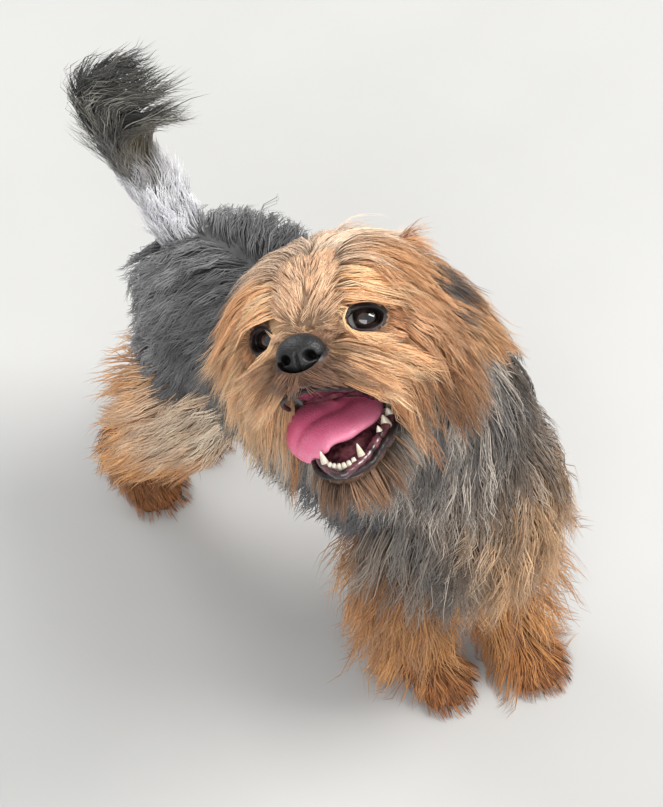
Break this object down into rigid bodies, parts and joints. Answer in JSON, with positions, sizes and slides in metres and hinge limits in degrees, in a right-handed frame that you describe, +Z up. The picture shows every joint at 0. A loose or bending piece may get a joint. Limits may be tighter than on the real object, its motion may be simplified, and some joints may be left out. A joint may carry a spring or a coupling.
{
  "type": "yorkshire terrier",
  "caption": "Small long-coated terrier standing on four legs, head turned and tipped up with its mouth open and tongue out, tail raised.",
  "frame": {"origin": "on the floor under the middle of the whole animal's box", "axes": "+Z up, -Y towards the chest, +Y towards the rump and tail, +X towards the dog's left side"},
  "size_m": [0.1852, 0.28, 0.3342],
  "materials": {
    "tan_coat": "soft tan to rust long hair",
    "grey_coat": "silky steel-grey long hair",
    "eye": "wet dark brown",
    "nose": "moist black, finely pebbled",
    "tongue": "wet pink",
    "mouth": "wet black lips",
    "teeth": "ivory enamel",
    "claw": "dark horn"
  },
  "bodies": {
    "root": {"head": "tan_coat", "jaw": "tan_coat", "tongue": "tongue", "nose": "nose", "eye_left": "eye", "eye_right": "eye", "ear_left": "tan_coat", "ear_right": "tan_coat", "neck": "grey_coat", "torso": "grey_coat", "tail": "grey_coat", "leg_fore_left": "tan_coat", "leg_fore_right": "tan_coat", "leg_hind_left": "tan_coat", "leg_hind_right": "tan_coat"}
  },
  "joints": []
}
